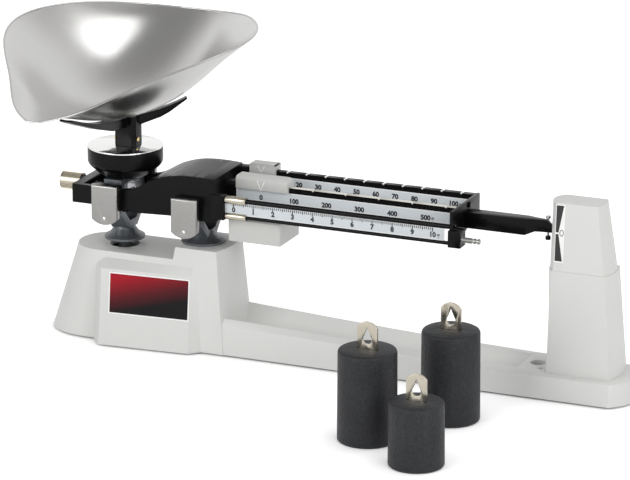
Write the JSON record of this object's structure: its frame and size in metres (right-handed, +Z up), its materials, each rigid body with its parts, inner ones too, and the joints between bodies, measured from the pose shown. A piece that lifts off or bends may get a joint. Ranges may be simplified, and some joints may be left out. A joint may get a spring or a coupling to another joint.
{
  "type": "triple beam balance",
  "caption": "Mechanical balance with a rocking beam, sliding poises, a pointer damped in a post, a scoop on a cradle and loose cylindrical attachment weights.",
  "frame": {"origin": "on the table plane, under the middle of the overall box", "axes": "+X along the beam from the pan towards the pointer, +Y away from the front, +Z up"},
  "size_m": [0.4956, 0.3304, 0.2306],
  "materials": {
    "painted_casting": "fine textured light warm grey paint",
    "bottom_sheet": "plated sheet steel",
    "foot_rubber": "matte black rubber",
    "label_print": "printed in red and black with a white border",
    "zero_print": "printed in black and white",
    "black_enamel": "semi-gloss black enamel",
    "grey_casting": "dark grey, as cast",
    "nickel": "satin nickel plate",
    "hard_steel": "ground and hardened",
    "link_steel": "plated steel",
    "brass_fittings": "bright brass",
    "poise_paint": "off-white paint",
    "scale_print": "light bluish grey with black printing",
    "polished_plate": "mirror-polished stainless plate",
    "scoop_steel": "satin stainless sheet",
    "magnet": "dark plated magnet",
    "vane_aluminium": "bright aluminium",
    "crinkle_black": "dark charcoal crinkle paint",
    "plug_iron": "dark iron"
  },
  "bodies": {
    "base": {"base_casting": "painted_casting", "bottom_plate": "bottom_sheet", "rubber_feet": "foot_rubber", "label_plate": "label_print", "damper_post": "painted_casting", "post_screws": "nickel", "zero_plate": "zero_print", "magnet_bracket": "bottom_sheet", "damper_magnets": "magnet", "fulcrum_yoke": "grey_casting", "fulcrum_screw": "nickel", "fulcrum_bearings": "hard_steel", "check_bracket": "bottom_sheet", "check_link_pin": "hard_steel"},
    "beam": {"beam_casting": "black_enamel", "load_knives": "hard_steel", "fulcrum_knives": "hard_steel", "load_cover_front": "nickel", "load_cover_rear": "nickel", "fulcrum_cover_front": "nickel", "fulcrum_cover_rear": "nickel", "rear_bar": "black_enamel", "middle_bar": "black_enamel", "front_upper_rod": "black_enamel", "front_lower_rod": "black_enamel", "rear_scale_plate": "scale_print", "middle_scale_plate": "scale_print", "front_scale_plate": "scale_print", "end_bracket": "black_enamel", "bracket_screws": "black_enamel", "hanger_pin": "nickel", "pointer_arm": "black_enamel", "damper_vane": "vane_aluminium", "trim_screw": "nickel", "trim_nut": "black_enamel", "zero_screw": "nickel"},
    "zero_bush": {"zero_bush": "brass_fittings"},
    "zero_knob": {"zero_knob": "nickel"},
    "rear_poise": {"rear_poise": "poise_paint"},
    "middle_poise": {"middle_poise": "poise_paint"},
    "front_rider": {"front_rider": "nickel"},
    "pan_holder": {"pan_yoke": "grey_casting", "load_bearings": "hard_steel", "pan_bowl": "black_enamel", "pan_disc": "polished_plate", "stem_pin": "hard_steel"},
    "check_link": {"check_link": "link_steel"},
    "cradle": {"cradle": "black_enamel", "cradle_screws": "brass_fittings"},
    "scoop": {"scoop": "scoop_steel"},
    "large_weight_1": {"large_weight_1": "crinkle_black", "large_weight_1_plug": "plug_iron", "large_weight_1_strip": "nickel"},
    "large_weight_2": {"large_weight_2": "crinkle_black", "large_weight_2_plug": "plug_iron", "large_weight_2_strip": "nickel"},
    "small_weight": {"small_weight": "crinkle_black", "small_weight_plug": "plug_iron", "small_weight_strip": "nickel"}
  },
  "joints": [
    {"name": "beam_rock", "type": "hinge", "parent": "base", "child": "beam", "pos_m": [-0.0902, 0.03735, 0.108], "axis": [0, 1, 0], "range_deg": [-2.4, 2.4]},
    {"name": "pan_level", "type": "hinge", "parent": "beam", "child": "pan_holder", "pos_m": [-0.1542, 0.03735, 0.108], "axis": [0, 1, 0], "range_deg": [-2.4, 2.4]},
    {"name": "link_swing", "type": "hinge", "parent": "base", "child": "check_link", "pos_m": [-0.0902, 0.03735, 0.032], "axis": [0, 1, 0], "range_deg": [-2.4, 2.4]},
    {"name": "zero_travel", "type": "slide", "parent": "beam", "child": "zero_bush", "axis": [1, 0, 0], "range_m": [-0.0021, 0.0021]},
    {"name": "zero_turn", "type": "hinge", "parent": "zero_bush", "child": "zero_knob", "pos_m": [-0.1962, 0.03735, 0.1121], "axis": [1, 0, 0], "range_deg": [-1080, 1080]},
    {"name": "rear_poise_slide", "type": "slide", "parent": "beam", "child": "rear_poise", "axis": [1, 0, 0], "range_m": [0, 0.151]},
    {"name": "middle_poise_slide", "type": "slide", "parent": "beam", "child": "middle_poise", "axis": [1, 0, 0], "range_m": [0, 0.129]},
    {"name": "front_rider_slide", "type": "slide", "parent": "beam", "child": "front_rider", "axis": [1, 0, 0], "range_m": [0, 0.155]},
    {"name": "cradle_lift", "type": "slide", "parent": "pan_holder", "child": "cradle", "axis": [0, 0, 1], "range_m": [0, 0.03]},
    {"name": "scoop_lift", "type": "slide", "parent": "cradle", "child": "scoop", "axis": [0, 0, 1], "range_m": [0, 0.06]},
    {"name": "large_weight_1_lift", "type": "slide", "parent": "base", "child": "large_weight_1", "axis": [0, 0, 1], "range_m": [0, 0.06]},
    {"name": "large_weight_2_lift", "type": "slide", "parent": "base", "child": "large_weight_2", "axis": [0, 0, 1], "range_m": [0, 0.06]},
    {"name": "small_weight_lift", "type": "slide", "parent": "base", "child": "small_weight", "axis": [0, 0, 1], "range_m": [0, 0.06]}
  ],
  "couplings": [
    {"joint": "pan_level", "follows": "beam_rock", "ratio": -1},
    {"joint": "link_swing", "follows": "beam_rock", "ratio": 1},
    {"joint": "zero_turn", "follows": "zero_travel", "rad_per_m": 8976}
  ]
}
